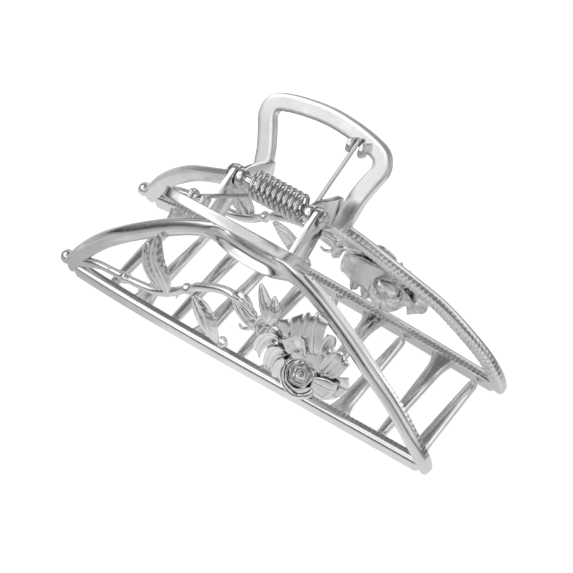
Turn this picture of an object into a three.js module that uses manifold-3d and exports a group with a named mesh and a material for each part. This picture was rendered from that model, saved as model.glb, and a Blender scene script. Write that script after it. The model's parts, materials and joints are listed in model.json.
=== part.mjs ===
// Rose claw hair clip: two mirrored die-cast jaws, a hinge pin and a torsion spring.
// Millimetres. +X runs along the hinge, +Y from the front jaw to the rear jaw, +Z up to the handles.
// Everything is drawn about the middle of the hinge axis with the jaws closed, then moved so that the clip stands on
// its rails with the origin at the bottom centre of its box.
import * as THREE from 'three';
import { mergeVertices } from 'three/addons/utils/BufferGeometryUtils.js';
import Module from 'manifold-3d';

const wasm = await Module();
wasm.setup();

const GAP = 0.25; // clearance left between two members that meet

const frame = {
  railHalfLength: 50.6,
  railZ: -41.6,
  railBow: 1.2,
  railBowSkew: 0.6,
  railRise: 0.8,
  inPlaneHalf: 2.0,
  outerHalf: 1.45,
  saddleExtra: 0.8,
  saddleHalf: 11,
  noseNarrow: 0.55,
  noseTaper: 12,
};
const handle = {
  shiftX: 0.5,
  baseY: 7.7,
  baseZ: -7.5,
  leanY: 0.593,
  leanZ: 0.805,
  inPlaneHalf: 2.1,
  thickHalf: 1.25,
  topUp: 20,
};
const tooth = {
  rootHalf: 2.05,
  tipHalf: 1.1,
  thickHalf: 0.95,
  rootFlare: 1.1,
  flareLength: 0.2,
  tipGap: 0.3,
  tipRound: 0.6,
  drop: 0.6,
};
const lug = { thickness: 1.6, headRadius: 2.3, boreRadius: 1.45, arcFrom: 0.34, arcTo: 1.3 };
const pin = { radius: 1.2, halfLength: 12.6, headRadius: 2.0, headLength: 0.9 };
const spring = {
  radius: 2.95,
  wireRadius: 0.5,
  startX: -6.4,
  pitch: 1.5,
  turns: 10,
  stepsPerTurn: 14,
  rearArmX: 9.5,
  frontArmX: -8.1,
  armUp: 19,
  armOut: -1.95,
};
const ear = { besideArm: 1.6, up: 17, foot: 1.1, top: 3.5, tall: 1.8, halfThick: 0.75 };
const ornament = { stemRadius: 0.95, leafThick: 0.45, leafArch: 0.9, ballRadius: 1.75, ballAt: [-52.5, -40.0] };
const bloom = { x: 17.2, z: -27.8, out: 2.2, halfX: 12.2, halfZ: 9.8, height: 3.6, depth: 3.2, petals: 7 };
const rearJaw = { teeth: [-41.2, -22.3, -3.2, 15.9, 35.6], lean: 1.6, lugX: 9.4 };
const frontJaw = { teeth: [-30, -12.3, 7, 26.4, 46.6], lean: -1.8, lugX: 11.3 };
const silver = { color: 0xd6d7da, metalness: 1.0, roughness: 0.25 };
const steel = { color: 0xb9bcc1, metalness: 1.0, roughness: 0.2 };

// The jaw's shell seen from its end: distance out from the mirror plane at each height.
const SHELL = [[-60, 13.6], [-48, 14.1], [-41.6, 14.4], [-34, 14.3], [-23, 12.5], [-14, 9.6], [-7.5, 7.7], [4, 4.6]];

// Half of the arch rail's centre line, from the middle out to the nose, as (x, z).
const ARCH = [[0, -11.8], [5, -11.4], [10.5, -10.4], [17, -12.4], [26, -17.3], [34.8, -23], [41.4, -28.6],
  [46.6, -34.4], [49.9, -39.6], [50.9, -43.2]];

// Half of the handle's centre line in its own plane, from its foot to near the middle of its top, as (x, up).
const HANDLE_SIDE = [[11.3, -1.2], [11.9, 2.5], [12.8, 7], [14.3, 11.2], [15.4, 14.4], [14.4, 17.2], [11, 18.6],
  [5.5, 19.6]];

// The stem's centre line from the frame's left end to the flower, as (x, z, out), and its knots along it.
const STEM = [[-48.6, -38.6, 0.2], [-44.7, -36.5, 0.4], [-40.9, -35, 0.6], [-34.9, -34.2, 0.8], [-29.5, -33.8, 0.8],
  [-24, -32.8, 0.8], [-19, -30.2, 0.8], [-15, -27, 0.9], [-10.4, -24, 1], [-5.1, -22, 1.2], [0, -22, 1.6],
  [5, -23.5, 2.2]];
const KNOTS = [0.28, 0.62];

// The lug's edge as (y, z), from under its head out to the handle leg and back above.
const LUG_EDGE = [[0.3, -5], [2.6, -6.6], [5, -8.3], [7.2, -9.6], [8.8, -8.4], [9.6, -6.2], [10.3, -4.6], [10.6, -3.3],
  [10.4, -2.9], [7.6, -1.4], [4.4, 0.6]];

// Each leaf from its foot to its tip: x, z, x, z, half width and height off the shell.
const LEAVES = [[-24.6, -30.2, -24.4, -16.8, 2.7, 1.3], [-12.4, -26.6, -6.2, -37.2, 2.8, 1.4],
  [6.4, -21.6, 5.2, -14.9, 1.9, 2.0], [-0.6, -21.6, 2.8, -27.4, 1.9, 2.4]];

function shellY(z) {
  for (let i = 1; i < SHELL.length; i += 1) {
    const [z0, y0] = SHELL[i - 1];
    const [z1, y1] = SHELL[i];
    if (z <= z1) return y0 + ((y1 - y0) * (z - z0)) / (z1 - z0);
  }
  return SHELL[SHELL.length - 1][1];
}

function shellNormal(z) {
  const step = 3;
  const slope = (shellY(z + step) - shellY(z - step)) / (2 * step);
  return new THREE.Vector3(0, 1, -slope).normalize();
}

// A point of the rear jaw's shell, moved out from it by `out`.
function onShell(x, z, out = 0) {
  return new THREE.Vector3(x, shellY(z), z).addScaledVector(shellNormal(z), out);
}

// A point in the rear handle's own plane, `up` along it from its base.
function onHandle(x, up, out = 0) {
  const y = handle.baseY + handle.leanY * up + handle.leanZ * out;
  return new THREE.Vector3(x, y, handle.baseZ + handle.leanZ * up - handle.leanY * out);
}

const handleNormal = new THREE.Vector3(0, handle.leanZ, -handle.leanY);

function smoothPath(points, count, tension = 0.5) {
  return new THREE.CatmullRomCurve3(points, false, 'catmullrom', tension).getSpacedPoints(count);
}

function ellipse(sides, halfWidth, halfHeight) {
  return Array.from({ length: sides }, (_, i) => {
    const angle = (i / sides) * Math.PI * 2;
    return [Math.cos(angle) * halfWidth, Math.sin(angle) * halfHeight];
  });
}

// Flat inside, domed outside: the section of the cast rails.
function domedSection(halfWidth, halfHeight) {
  return [[1, -1], [1, 0.1], [0.78, 0.66], [0.35, 1], [-0.35, 1], [-0.78, 0.66], [-1, 0.1], [-1, -1]].map(
    ([across, out]) => [across * halfWidth, out * halfHeight],
  );
}

function chamferedSection(halfWidth, halfHeight, chamfer = 0.35) {
  const w = halfWidth;
  const h = halfHeight;
  return [[w, -h + chamfer], [w, h - chamfer], [w - chamfer, h], [chamfer - w, h], [-w, h - chamfer],
    [-w, chamfer - h], [chamfer - w, -h], [w - chamfer, -h]];
}

// A closed body from one section per path point. `outward` fixes which way each section's second axis faces.
function loft(path, outward, section) {
  const positions = [];
  const indices = [];
  const last = path.length - 1;
  let sides = 0;
  path.forEach((point, i) => {
    const tangent = path[Math.min(i + 1, last)].clone().sub(path[Math.max(i - 1, 0)]).normalize();
    const out = outward(i / last, point).clone();
    out.addScaledVector(tangent, -out.dot(tangent)).normalize();
    const across = new THREE.Vector3().crossVectors(tangent, out);
    const ring = section(i / last, point);
    sides = ring.length;
    ring.forEach(([a, b]) => {
      positions.push(...point.clone().addScaledVector(across, a).addScaledVector(out, b).toArray());
    });
  });
  for (let i = 0; i < last; i += 1) {
    for (let k = 0; k < sides; k += 1) {
      const a = i * sides + k;
      const b = i * sides + ((k + 1) % sides);
      indices.push(a, b, b + sides, a, b + sides, a + sides);
    }
  }
  for (let k = 1; k < sides - 1; k += 1) {
    indices.push(0, k + 1, k);
    indices.push(last * sides, last * sides + k, last * sides + k + 1);
  }
  return closedGeometry(positions, indices);
}

function closedGeometry(positions, indices) {
  const geometry = new THREE.BufferGeometry();
  geometry.setAttribute('position', new THREE.Float32BufferAttribute(positions, 3));
  geometry.setIndex(indices);
  return signedVolume(geometry) < 0 ? flipped(geometry) : geometry;
}

function signedVolume(geometry) {
  const p = geometry.getAttribute('position');
  const corner = (i) => new THREE.Vector3().fromBufferAttribute(p, geometry.index.getX(i));
  let total = 0;
  for (let i = 0; i < geometry.index.count; i += 3) {
    total += corner(i).dot(corner(i + 1).cross(corner(i + 2)));
  }
  return total / 6;
}

function flipped(geometry) {
  const index = Array.from(geometry.index.array);
  for (let i = 0; i < index.length; i += 3) {
    [index[i + 1], index[i + 2]] = [index[i + 2], index[i + 1]];
  }
  geometry.setIndex(index);
  return geometry;
}

function toSolid(geometry) {
  const plain = geometry.clone();
  plain.deleteAttribute('normal');
  plain.deleteAttribute('uv');
  const merged = mergeVertices(plain, 1e-5);
  return new wasm.Manifold(new wasm.Mesh({
    numProp: 3,
    vertProperties: new Float32Array(merged.getAttribute('position').array),
    triVerts: new Uint32Array(merged.index.array),
  }));
}

function toGeometry(solid) {
  const mesh = solid.getMesh();
  const geometry = new THREE.BufferGeometry();
  geometry.setAttribute('position', new THREE.BufferAttribute(new Float32Array(mesh.vertProperties), 3));
  geometry.setIndex(new THREE.BufferAttribute(new Uint32Array(mesh.triVerts), 1));
  return geometry;
}

// The body with every cutter taken away, keeping only its largest piece.
function trimmed(geometry, cutters) {
  const cut = cutters.reduce((solid, cutter) => solid.subtract(toSolid(cutter)), toSolid(geometry));
  const pieces = cut.decompose().sort((a, b) => b.volume() - a.volume());
  return toGeometry(pieces[0]);
}

function mirrored(geometry) {
  return flipped(geometry.clone().scale(1, -1, 1));
}

function archPath() {
  const right = ARCH.map(([x, z]) => onShell(x, z));
  const left = ARCH.slice(1).reverse().map(([x, z]) => onShell(-x, z));
  return smoothPath([...left, ...right], 72);
}

function archRail(grow = 0) {
  const path = archPath();
  return loft(path, (t, p) => shellNormal(p.z), (t, p) => {
    const nose = Math.min(1, frame.noseNarrow + frame.noseTaper * Math.min(t, 1 - t));
    const saddle = frame.saddleExtra * Math.exp(-((p.x / frame.saddleHalf) ** 4));
    return domedSection((frame.inPlaneHalf + saddle) * nose + grow, frame.outerHalf + grow);
  });
}

// The base rail's centre at x: it bows out from the mirror plane, most on the left half, and rises a little.
function railPoint(x) {
  const u = x / frame.railHalfLength;
  const bow = (1 - u ** 2) * (1 - frame.railBowSkew * u);
  return new THREE.Vector3(x, shellY(frame.railZ) + frame.railBow * bow, frame.railZ + frame.railRise * (1 - u ** 2));
}

function railPath(steps = 24) {
  const half = frame.railHalfLength;
  return Array.from({ length: steps + 1 }, (_, i) => railPoint(-half + (i / steps) * 2 * half));
}

function baseRail(grow = 0) {
  const up = new THREE.Vector3(0, 1, 0);
  return loft(railPath(), () => up, () => domedSection(frame.inPlaneHalf + grow, frame.outerHalf + grow));
}

// One straight tapering tooth from the rail at `x` across to the other jaw's rail.
function toothBar(x, lean) {
  const steps = 8;
  const root = railPoint(x);
  const reach = 2 * root.y - frame.outerHalf - tooth.tipGap;
  const path = Array.from({ length: steps + 1 }, (_, i) => {
    const t = i / steps;
    return root.clone().add(new THREE.Vector3(lean * t, -reach * t, -tooth.drop * t ** 2));
  });
  return loft(path, () => new THREE.Vector3(0, 0, 1), (t) => {
    const flare = tooth.rootFlare * Math.max(0, 1 - t / tooth.flareLength) ** 2;
    const taper = tooth.rootHalf + (tooth.tipHalf - tooth.rootHalf) * t;
    const round = t === 1 ? tooth.tipRound : 1;
    return ellipse(8, (taper + flare) * round, tooth.thickHalf * round);
  });
}

function handleLoop(grow = 0) {
  const points = [
    ...HANDLE_SIDE.map(([x, up]) => onHandle(handle.shiftX - x, up)),
    onHandle(handle.shiftX, handle.topUp),
    ...HANDLE_SIDE.slice().reverse().map(([x, up]) => onHandle(handle.shiftX + x, up)),
  ];
  return loft(smoothPath(points, 48), () => handleNormal, () => (
    chamferedSection(handle.inPlaneHalf + grow, handle.thickHalf + grow)
  ));
}

// A flat plate square to the hinge, from the pin out to the foot of the handle leg.
function lugPlate(x) {
  const shape = new THREE.Shape();
  shape.absarc(0, 0, lug.headRadius, lug.arcFrom * Math.PI, lug.arcTo * Math.PI, false);
  LUG_EDGE.forEach(([y, z]) => shape.lineTo(y, z));
  shape.closePath();
  const hole = new THREE.Path();
  hole.absarc(0, 0, lug.boreRadius, 0, Math.PI * 2, false);
  shape.holes.push(hole);
  const plate = new THREE.ExtrudeGeometry(shape, { depth: lug.thickness, bevelEnabled: false, curveSegments: 20 });
  return plate.rotateX(Math.PI / 2).rotateZ(Math.PI / 2).translate(x, 0, 0);
}

function hingePin() {
  const { radius, halfLength, headRadius, headLength } = pin;
  const profile = [
    [0, -halfLength - headLength], [headRadius * 0.7, -halfLength - headLength],
    [headRadius, -halfLength - headLength * 0.5], [headRadius, -halfLength], [radius, -halfLength],
    [radius, halfLength], [headRadius, halfLength], [headRadius, halfLength + headLength * 0.5],
    [headRadius * 0.7, halfLength + headLength], [0, halfLength + headLength],
  ].map(([r, along]) => new THREE.Vector2(r, along));
  return new THREE.LatheGeometry(profile, 24).rotateZ(-Math.PI / 2);
}

// Coil round the pin with one arm out to each handle, as a single wire. Both arms leave the coil underneath.
function torsionSpring() {
  const { radius, wireRadius, startX, pitch, turns, stepsPerTurn, rearArmX, frontArmX, armUp, armOut } = spring;
  const rearEnd = onHandle(rearArmX, armUp, armOut);
  const reach = Math.hypot(rearEnd.y, rearEnd.z);
  const leaveAngle = Math.atan2(rearEnd.z, rearEnd.y) - Math.acos(radius / reach);
  const enterAngle = Math.PI - leaveAngle;
  const sweep = turns * Math.PI * 2 + leaveAngle - enterAngle;
  const steps = Math.round((sweep / (Math.PI * 2)) * stepsPerTurn);
  const coil = Array.from({ length: steps + 1 }, (_, i) => {
    const angle = enterAngle + (sweep * i) / steps;
    const x = startX + (pitch * sweep * i) / (steps * Math.PI * 2);
    return new THREE.Vector3(x, Math.cos(angle) * radius, Math.sin(angle) * radius);
  });
  const frontEnd = new THREE.Vector3(frontArmX, -rearEnd.y, rearEnd.z);
  const path = [frontEnd, ...coil, rearEnd];
  return loft(path, () => new THREE.Vector3(1, 0, 0), () => ellipse(6, wireRadius, wireRadius));
}

// One of the two tabs that keep a spring arm in place on the inner face of a handle.
function springEar(x) {
  const path = [ear.foot, (ear.foot + ear.top) / 2, ear.top].map((out) => onHandle(x, ear.up, -out));
  return loft(path, () => new THREE.Vector3(1, 0, 0), (t) => {
    const scale = t === 1 ? 0.75 : 1;
    return chamferedSection(ear.tall * scale, ear.halfThick * scale, 0.25);
  });
}

function finialBall(x, z) {
  return new THREE.SphereGeometry(ornament.ballRadius, 16, 12).translate(x, shellY(z) - 0.4, z);
}

function roseStem(grow = 0) {
  const points = STEM.map(([x, z, out]) => onShell(x, z, out));
  return loft(smoothPath(points, 60), (t, p) => shellNormal(p.z), (t) => {
    const knot = 1 + KNOTS.reduce((sum, at) => sum + 0.35 * Math.exp(-(((t - at) / 0.018) ** 2)), 0);
    return ellipse(8, ornament.stemRadius * knot + grow, ornament.stemRadius * knot + grow);
  });
}

// A leaf with a raised middle, pointed at both ends, from (x0, z0) to (x1, z1).
function leafBlade([x0, z0, x1, z1, halfWidth, out]) {
  const steps = 10;
  const path = Array.from({ length: steps + 1 }, (_, i) => {
    const t = i / steps;
    const arch = ornament.leafArch * Math.sin(Math.PI * t);
    return onShell(x0 + (x1 - x0) * t, z0 + (z1 - z0) * t, out + arch);
  });
  return loft(path, (t, p) => shellNormal(p.z), (t) => {
    const w = halfWidth * Math.max(0.12, Math.sin(Math.PI * t ** 0.8) ** 0.8);
    const h = ornament.leafThick;
    return [[w, -h], [w, 0], [0, h * 1.6], [-w, 0], [-w, -h], [0, h * 0.2]];
  });
}

// The open flower: a closed dome whose rim is scalloped by the outer petals and whose face steps down in rings.
function roseBloom(grow = 0) {
  const { x, z, out, petals } = bloom;
  const halfX = bloom.halfX + grow;
  const halfZ = bloom.halfZ + grow;
  const height = bloom.height + grow;
  const depth = bloom.depth + grow;
  const around = 40;
  const rings = 14;
  const centre = onShell(x, z, out);
  const face = shellNormal(z);
  const up = new THREE.Vector3().crossVectors(face, new THREE.Vector3(-1, 0, 0)).normalize();
  const side = new THREE.Vector3(1, 0, 0);
  const at = (radial, angle, lift) => {
    const scallop = 1 + 0.07 * radial * Math.cos(petals * angle);
    return centre.clone()
      .addScaledVector(side, Math.cos(angle) * halfX * radial * scallop)
      .addScaledVector(up, Math.sin(angle) * halfZ * radial * scallop)
      .addScaledVector(face, lift);
  };
  const positions = [...at(0, 0, -depth).toArray()];
  for (let i = 1; i < rings; i += 1) {
    const polar = Math.PI * (1 - i / rings);
    for (let k = 0; k < around; k += 1) {
      const angle = (k / around) * Math.PI * 2;
      const radial = Math.sin(polar);
      const front = Math.cos(polar) > 0;
      const whorl = front ? 0.35 * Math.cos(9 * radial - 2 * angle) * radial : 0;
      positions.push(...at(radial, angle, Math.cos(polar) * (front ? height : depth) + whorl).toArray());
    }
  }
  positions.push(...at(0, 0, height).toArray());
  const indices = [];
  const top = 1 + (rings - 1) * around;
  for (let k = 0; k < around; k += 1) {
    const next = (k + 1) % around;
    indices.push(0, 1 + next, 1 + k);
    indices.push(top, top - around + k, top - around + next);
    for (let i = 0; i < rings - 2; i += 1) {
      const a = 1 + i * around + k;
      const b = 1 + i * around + next;
      indices.push(a, b, b + around, a, b + around, a + around);
    }
  }
  return closedGeometry(positions, indices);
}

// Every member of one jaw, drawn on the rear side: `teeth` are the bars' places along the rail, `lean` how far their
// tips shift sideways, `lugX` how far out the lugs are and `armX` where the spring's arm meets the handle.
function jawMembers({ teeth, lean, lugX, armX }) {
  const arch = archRail(GAP);
  const rail = baseRail(GAP);
  const members = {
    arch_rail: archRail(),
    base_rail: trimmed(baseRail(), [arch]),
    handle_loop: trimmed(handleLoop(), [arch]),
    finial_ball: trimmed(finialBall(...ornament.ballAt), [arch]),
  };
  teeth.forEach((x, i) => {
    members[`tooth_${i + 1}`] = trimmed(toothBar(x, lean), [rail, arch]);
  });
  const handleCutter = handleLoop(GAP);
  members.left_lug = trimmed(lugPlate(-lugX - lug.thickness / 2), [arch, handleCutter]);
  members.right_lug = trimmed(lugPlate(lugX - lug.thickness / 2), [arch, handleCutter]);
  const outward = Math.sign(armX) * ear.besideArm;
  members.inner_spring_ear = trimmed(springEar(armX - outward), [handleCutter]);
  members.outer_spring_ear = trimmed(springEar(armX + outward), [handleCutter]);
  members.rose_bloom = trimmed(roseBloom(), [rail, arch]);
  members.rose_stem = trimmed(roseStem(), [arch, roseBloom(GAP)]);
  LEAVES.forEach((leaf, i) => {
    members[`leaf_${i + 1}`] = trimmed(leafBlade(leaf), [roseStem(GAP), rail, arch, roseBloom(GAP)]);
  });
  return members;
}

const rear = jawMembers({ ...rearJaw, armX: spring.rearArmX });
const front = jawMembers({ ...frontJaw, armX: spring.frontArmX });

const clip = new THREE.Group();
clip.name = 'rose_claw_hair_clip';

function addMesh(name, geometry, finish) {
  const mesh = new THREE.Mesh(geometry, new THREE.MeshStandardMaterial(finish));
  mesh.name = name;
  clip.add(mesh);
}

// Moves every mesh so that the origin is the bottom centre of the whole clip's box.
function standOnOrigin(group) {
  const box = new THREE.Box3().setFromObject(group, true);
  const middle = box.getCenter(new THREE.Vector3());
  group.children.forEach((mesh) => mesh.geometry.translate(-middle.x, -middle.y, -box.min.z));
}

Object.entries(rear).forEach(([name, geometry]) => addMesh(`rear_${name}`, geometry, silver));
Object.entries(front).forEach(([name, geometry]) => addMesh(`front_${name}`, mirrored(geometry), silver));
addMesh('hinge_pin', hingePin(), steel);
addMesh('torsion_spring', torsionSpring(), steel);
standOnOrigin(clip);

export default clip;
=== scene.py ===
"""Rose claw hair clip: plated cast jaws, hinge pin and torsion spring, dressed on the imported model."""

import json
import math

import bmesh
import bpy
import numpy as np
from mathutils import Matrix, Vector


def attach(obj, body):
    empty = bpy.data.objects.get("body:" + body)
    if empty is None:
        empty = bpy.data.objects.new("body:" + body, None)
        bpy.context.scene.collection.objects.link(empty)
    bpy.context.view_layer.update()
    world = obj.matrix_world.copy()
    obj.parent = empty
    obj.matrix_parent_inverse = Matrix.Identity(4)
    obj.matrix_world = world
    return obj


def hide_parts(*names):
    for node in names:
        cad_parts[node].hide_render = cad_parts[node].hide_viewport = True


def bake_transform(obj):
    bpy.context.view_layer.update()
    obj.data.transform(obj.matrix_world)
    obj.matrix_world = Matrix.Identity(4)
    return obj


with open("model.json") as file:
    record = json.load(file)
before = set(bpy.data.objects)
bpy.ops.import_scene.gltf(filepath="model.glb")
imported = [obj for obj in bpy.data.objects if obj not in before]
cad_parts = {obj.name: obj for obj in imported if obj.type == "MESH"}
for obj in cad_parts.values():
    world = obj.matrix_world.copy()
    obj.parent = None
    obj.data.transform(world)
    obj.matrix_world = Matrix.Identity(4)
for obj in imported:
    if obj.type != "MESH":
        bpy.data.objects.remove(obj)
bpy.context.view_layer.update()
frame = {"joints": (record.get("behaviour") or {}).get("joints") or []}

MM = 0.001
SHARP_ANGLE = math.radians(42)
HINGE = np.array(frame["joints"][0]["pos_m"])

# The studio. The floor fade is how bright the floor's painted reflection in the metal is at a distance in
# metres, and SKY_RISE how bright the sky is at a height.
CLIP_MIDDLE = (0, 0, 0.02)
FLOOR_GLOW = 0.72
# The strength of the floor's painted reflection, the glow that only the metal sees.
FLOOR_PAINTED_REFLECTION = 0.84
PAINTED_REFLECTION_FADE = [(0.0, 1.0), (0.04, 0.92), (0.12, 0.72), (0.3, 0.5), (0.9, 0.36)]
SKY_RISE = [(0.0, 0.1), (0.06, 0.14), (0.18, 0.58), (0.42, 0.82), (1.0, 0.88)]
KEY_LIGHT = dict(place=(-0.5, -0.5, 0.8), size=(1.0, 1.0), power=2)
RIM_LIGHT = dict(place=(0.6, 0.5, 0.6), size=(0.3, 0.7), power=0.3)

# The plating: how fine its clouds are, how far into its hollows the painted shade reaches and how dark it is,
# and the height of its grain.
PLATING = dict(cloud=140, hollow=1.6, painted_shade_tone=0.68, painted_shade_share=0.8, relief=0.06)

# Design sizes in millimetres, the same as the part's.
SHELL_Z = [-60, -48, -41.6, -34, -23, -14, -7.5, 4]
SHELL_Y = [13.6, 14.1, 14.4, 14.3, 12.5, 9.6, 7.7, 4.6]
ARCH = [(0, -11.8), (5, -11.4), (10.5, -10.4), (17, -12.4), (26, -17.3), (34.8, -23), (41.4, -28.6),
        (46.6, -34.4), (49.9, -39.6), (50.9, -43.2)]
RAIL = dict(half=50.6, z=-41.6, bow=1.2, skew=0.6, rise=0.8)
BAR = dict(half_width=2.0, half_depth=1.45, saddle=0.8, saddle_half=11, nose=0.55, nose_growth=12, dish=2.0,
           dish_x=-1, dish_half=9)
RIB = dict(pitch=1.15, depth=0.08, slant=0.35, per_pitch=8, plain_end=7)
HANDLE = dict(shift=0.5, y=7.7, z=-7.5, lean_y=0.593, lean_z=0.805, half_width=2.0, half_depth=1.19,
              top_up=20, bevel=0.26)
HANDLE_SIDE = [(11.3, -1.2), (11.9, 2.5), (12.8, 7), (14.3, 11.2), (15.4, 14.4), (14.4, 17.2), (11, 18.6),
               (5.5, 19.6)]
TOOTH = dict(root=2.05, tip=1.1, half_depth=0.95, tip_gap=0.3, drop=0.6, flare=1.9, flare_part=0.24,
             ridge=0.18, ridge_half=0.35)
LUG = dict(half_thickness=0.8, head=2.3, arc_from=0.34, arc_to=1.3, bevel=0.25)
LUG_EDGE = [(0.3, -5.0), (2.6, -6.6), (5.0, -8.3), (7.2, -9.6), (8.8, -8.4), (9.6, -6.2), (10.3, -4.6),
            (10.6, -3.3)]
LUG_TOP = [(10.4, -2.9), (7.6, -1.4), (4.4, 0.6)]
PIN = dict(radius=1.2, half_length=12.6, head_radius=2.0, head_length=0.9)
SPRING = dict(radius=2.95, wire=0.5, start=-6.4, pitch=1.5, turns=10, winding_turns=9.2, arm_up=19,
              arm_out=-1.95)
EAR = dict(beside_arm=1.6, up=17.0, foot=0.9, top=3.5, half_tall=1.8, half_thick=0.75)
STEM = [(-48.6, -38.6, 0.2), (-44.7, -36.5, 0.4), (-40.9, -35, 0.6), (-34.9, -34.2, 0.8),
        (-29.5, -33.8, 0.8), (-24, -32.8, 0.8), (-19, -30.2, 0.8), (-15, -27, 0.9), (-10.4, -24, 1.0),
        (-5.1, -22, 1.2), (0, -22, 1.6), (5, -23.5, 2.2)]
# Places along the stem as parts of its length.
STEM_RADIUS = 1.05
STEM_KNOTS = [0.28, 0.62]
KNOT = dict(swell=0.42, waist=0.12, length=0.012, waist_after=0.03)
THORNS = [(0.2, 1), (0.36, -1), (0.44, 1), (0.55, -1), (0.7, 1)]
BALL = dict(x=-52.5, z=-40.0, radius=1.75, sunk=0.4, foot_x=-49.6, foot_z=-39.4, neck=1.15, neck_foot=1.4)
JAWS = {
    "rear": dict(side=1, teeth=[-41.2, -22.3, -3.2, 15.9, 35.6], lean=1.6, lug_x=9.4, arm_x=9.5),
    "front": dict(side=-1, teeth=[-30.0, -12.3, 7.0, 26.4, 46.6], lean=-1.8, lug_x=11.3, arm_x=-8.1),
}

# The camera stands in front of the clip, to its right and above it. Angles in degrees, lens in millimetres.
CAMERA = dict(target=(16.08, -17.45, -3.49), distance=520, azimuth=-50.69, elevation=46.83, roll=-1.87,
              lens=155.23, sensor=36)


# ---------------------------------------------------------------- curves and frames


def shell_y(z):
    """How far the rear jaw's shell stands from the mirror plane at height z."""
    return np.interp(z, SHELL_Z, SHELL_Y)


def shell_normal(z):
    """The shell's outward direction at height z."""
    step = 3
    slope = (shell_y(z + step) - shell_y(z - step)) / (2 * step)
    normal = np.stack([np.zeros_like(slope), np.ones_like(slope), -slope], -1)
    return normal / np.linalg.norm(normal, axis=-1, keepdims=True)


def on_shell(x, z, out=0.0):
    """Points on the rear jaw's shell, moved out from it."""
    x, z, out = np.broadcast_arrays(np.asarray(x, float), np.asarray(z, float), np.asarray(out, float))
    return np.stack([x, shell_y(z), z], -1) + shell_normal(z) * out[..., None]


def on_handle(x, up, out=0.0):
    """Points in the rear handle's own plane."""
    x, up, out = np.broadcast_arrays(np.asarray(x, float), np.asarray(up, float), np.asarray(out, float))
    y = HANDLE["y"] + HANDLE["lean_y"] * up + HANDLE["lean_z"] * out
    z = HANDLE["z"] + HANDLE["lean_z"] * up - HANDLE["lean_y"] * out
    return np.stack([x, y, z], -1)


def smooth_path(points, count):
    """Catmull-Rom through the points, resampled to even spacing."""
    p = np.asarray(points, float)
    p = np.vstack([2 * p[0] - p[1], p, 2 * p[-1] - p[-2]])
    t = np.linspace(0, 1, 24, endpoint=False)[:, None]
    runs = []
    for a, b, c, d in zip(p[:-3], p[1:-2], p[2:-1], p[3:]):
        square = (2 * a - 5 * b + 4 * c - d) * t**2
        cube = (3 * b - a - 3 * c + d) * t**3
        runs.append(0.5 * (2 * b + (c - a) * t + square + cube))
    dense = np.vstack(runs + [p[-2:-1]])
    length = np.r_[0, np.cumsum(np.linalg.norm(np.diff(dense, axis=0), axis=1))]
    at = np.linspace(0, length[-1], count)
    return np.stack([np.interp(at, length, dense[:, k]) for k in range(dense.shape[1])], 1)


def path_length(path):
    return float(np.linalg.norm(np.diff(path, axis=0), axis=1).sum())


def arch_path(count):
    """The arch rail's centre line, from the left nose to the right one."""
    right = on_shell([x for x, _ in ARCH], [z for _, z in ARCH])
    left = right[:0:-1] * [-1, 1, 1]
    return smooth_path(np.vstack([left, right]), count)


def rail_point(x):
    """Points on the base rail's centre line, which bows out a little between its ends."""
    u = np.asarray(x, float) / RAIL["half"]
    bow = (1 - u**2) * (1 - RAIL["skew"] * u)
    y = shell_y(RAIL["z"]) + RAIL["bow"] * bow
    return np.stack([u * RAIL["half"], y, RAIL["z"] + RAIL["rise"] * (1 - u**2)], -1)


def rounded_ends(path, reach, start=True):
    """A scale for each ring that closes a bar's far end, and its start too, in a half circle."""
    length = np.r_[0, np.cumsum(np.linalg.norm(np.diff(path, axis=0), axis=1))]
    scale = np.ones(len(path))
    for distance in [length, length[-1] - length] if start else [length[-1] - length]:
        k = np.clip(distance / reach, 0, 1)
        scale = np.minimum(scale, np.sqrt(np.maximum(1 - (1 - k) ** 2, 0.01)))
    return scale


# ---------------------------------------------------------------- meshes


def make_object(name, vertices, faces, material, side=1):
    """A mesh object from millimetre points about the hinge. side -1 mirrors it to the front jaw."""
    vertices = np.asarray(vertices, float) * [1, side, 1] * MM + HINGE
    mesh = bpy.data.meshes.new(name)
    mesh.from_pydata(vertices.tolist(), [], [list(f) for f in faces])
    bm = bmesh.new()
    bm.from_mesh(mesh)
    bmesh.ops.recalc_face_normals(bm, faces=bm.faces)
    for edge in bm.edges:
        edge.smooth = edge.calc_face_angle(0) < SHARP_ANGLE
    bm.to_mesh(mesh)
    bm.free()
    mesh.polygons.foreach_set("use_smooth", [True] * len(mesh.polygons))
    mesh.materials.append(material)
    obj = bpy.data.objects.new(name, mesh)
    bpy.context.scene.collection.objects.link(obj)
    return obj


def tube(rings):
    """Vertices and faces of a closed bar from its rings of points, each with as many points as the next."""
    rings = np.asarray(rings, float)
    index = np.arange(rings.shape[0] * rings.shape[1]).reshape(rings.shape[:2])
    a, b = index[:-1], index[1:]
    quads = np.stack([a, np.roll(a, -1, 1), np.roll(b, -1, 1), b], -1).reshape(-1, 4)
    return rings.reshape(-1, 3), quads.tolist() + [index[0][::-1].tolist(), index[-1].tolist()]


def sweep(path, outward, sections):
    """A closed bar along a path. sections is (rings, sides, 2): across and outward offsets."""
    tangent = np.gradient(path, axis=0)
    tangent /= np.linalg.norm(tangent, axis=1, keepdims=True)
    outward = np.broadcast_to(outward, path.shape).astype(float)
    outward = outward - (outward * tangent).sum(1, keepdims=True) * tangent
    outward /= np.linalg.norm(outward, axis=1, keepdims=True)
    across = np.cross(tangent, outward)
    points = path[:, None] + across[:, None] * sections[..., :1] + outward[:, None] * sections[..., 1:]
    return tube(points)


def join(parts):
    """Several (vertices, faces) as one."""
    vertices = np.vstack([v for v, _ in parts])
    faces = []
    offset = 0
    for v, f in parts:
        faces += [[i + offset for i in face] for face in f]
        offset += len(v)
    return vertices, faces


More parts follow.
